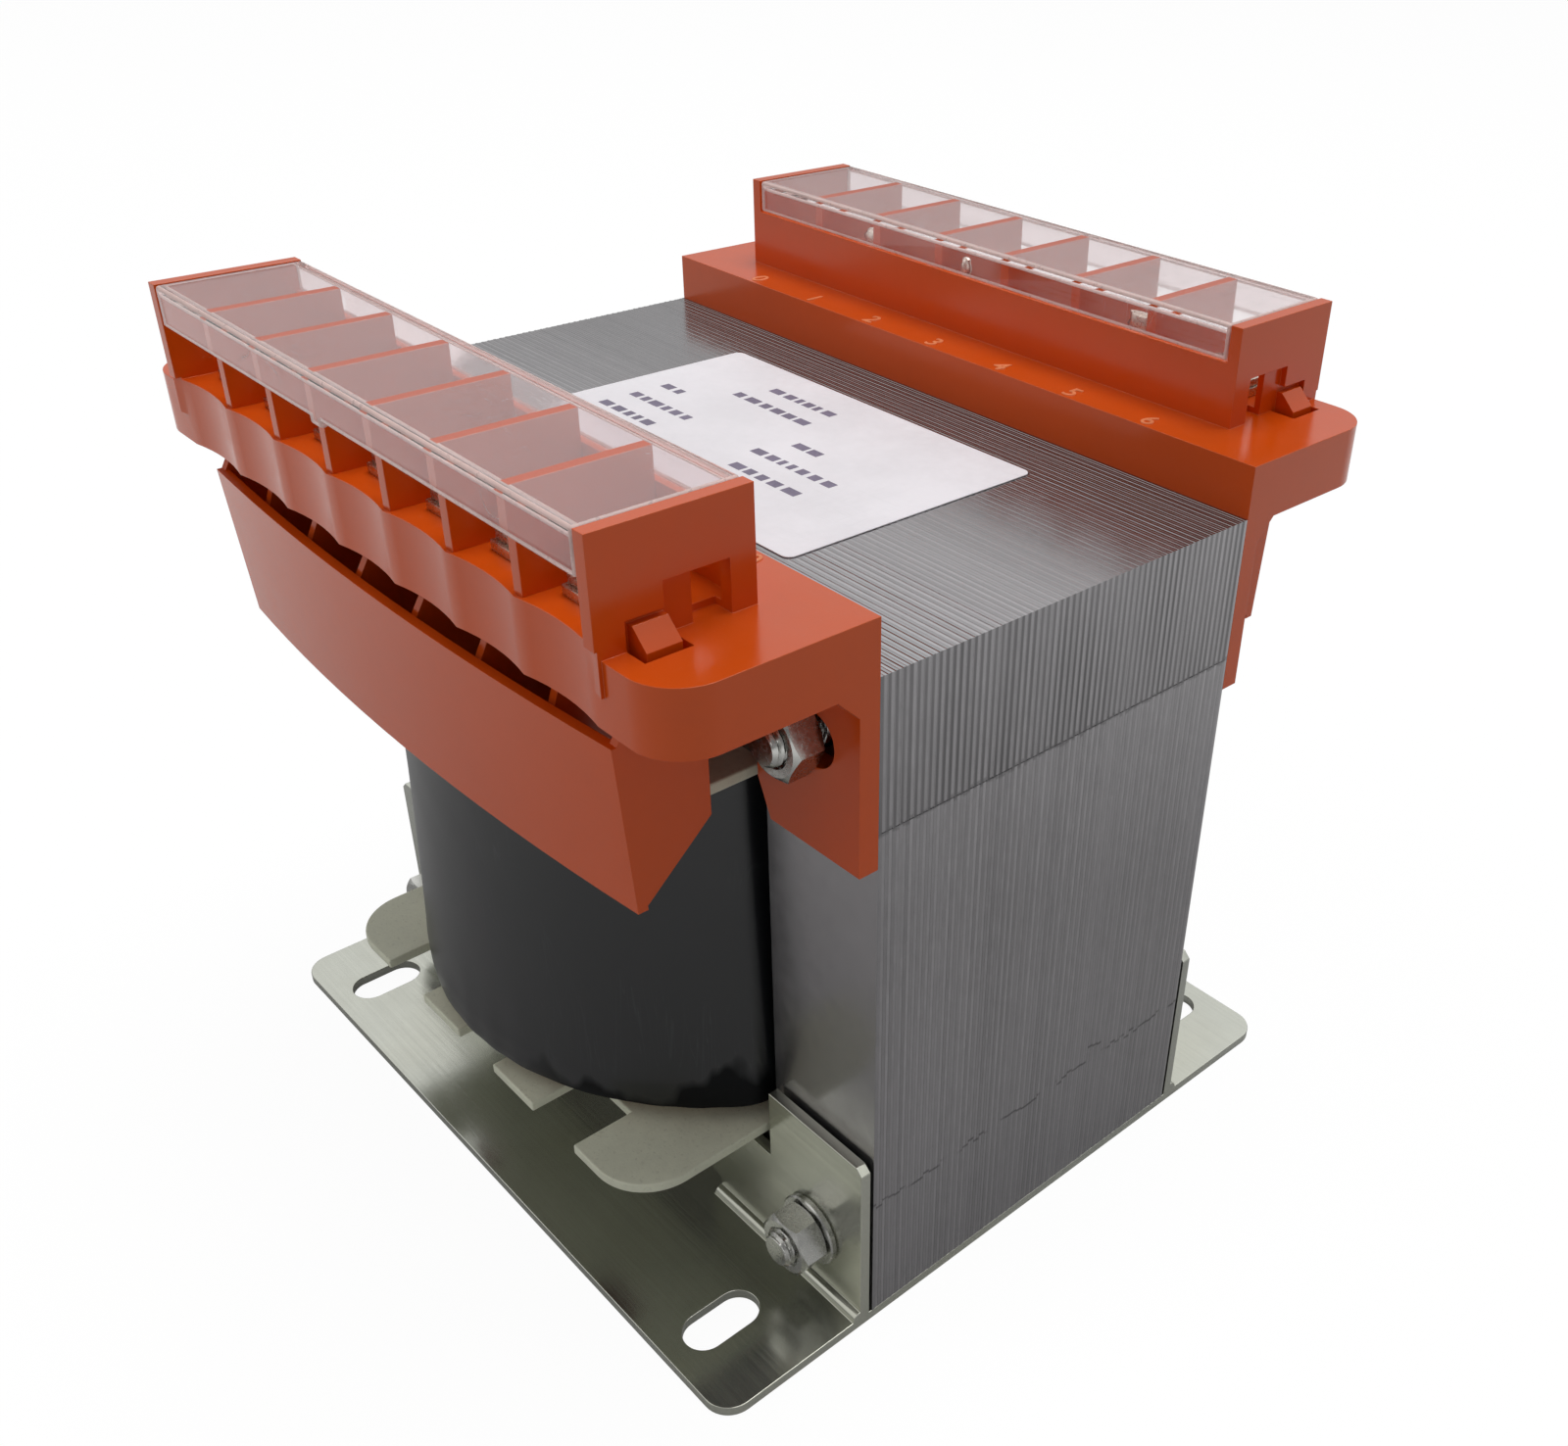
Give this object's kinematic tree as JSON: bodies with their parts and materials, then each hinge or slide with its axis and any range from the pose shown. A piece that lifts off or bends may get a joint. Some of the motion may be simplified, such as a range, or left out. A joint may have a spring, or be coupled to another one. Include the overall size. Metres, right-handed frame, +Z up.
{
  "type": "laminated chassis transformer",
  "caption": "Open-frame mains control transformer: laminated steel core and wrapped coil on a slotted base plate, with orange screw-terminal blocks under clear covers.",
  "frame": {"origin": "centre of the underside of the base plate", "axes": "+Z up, +X along the terminal blocks, -Y towards the front terminal block, where the nuts are"},
  "size_m": [0.114, 0.1108, 0.1158],
  "materials": {
    "zinc_sheet": "satin",
    "lamination_steel": "matt, cut edges",
    "former_plastic": "matt",
    "copper_wire": "varnished",
    "insulation_film": "matt",
    "wrap_film": "satin",
    "block_plastic": "satin moulded",
    "cover_plastic": "clear, slightly hazy",
    "terminal_metal": "bright plated",
    "fastener_metal": "bright plated",
    "lead_sleeve": "matt",
    "label_paper": "matt"
  },
  "bodies": {
    "root": {"base_plate": "zinc_sheet", "core_e_stack": "lamination_steel", "core_i_stack": "lamination_steel", "coil_former": "former_plastic", "primary_winding": "copper_wire", "winding_insulation": "insulation_film", "secondary_winding": "copper_wire", "outer_wrap": "wrap_film", "front_terminal_block": "block_plastic", "front_way_dividers": "block_plastic", "front_wire_duct": "block_plastic", "rear_terminal_block": "block_plastic", "rear_way_dividers": "block_plastic", "rear_wire_duct": "block_plastic", "front_clear_cover": "cover_plastic", "rear_clear_cover": "cover_plastic", "front_terminal_plates": "terminal_metal", "rear_terminal_plates": "terminal_metal", "terminal_screws": "terminal_metal", "clamp_washers": "terminal_metal", "upper_bolts": "fastener_metal", "upper_nuts": "fastener_metal", "lower_bolts": "fastener_metal", "lower_nuts": "fastener_metal", "lower_washers": "fastener_metal", "front_leads": "lead_sleeve", "rear_leads": "lead_sleeve", "rear_lead_ends": "terminal_metal", "rating_label": "label_paper"}
  },
  "joints": []
}
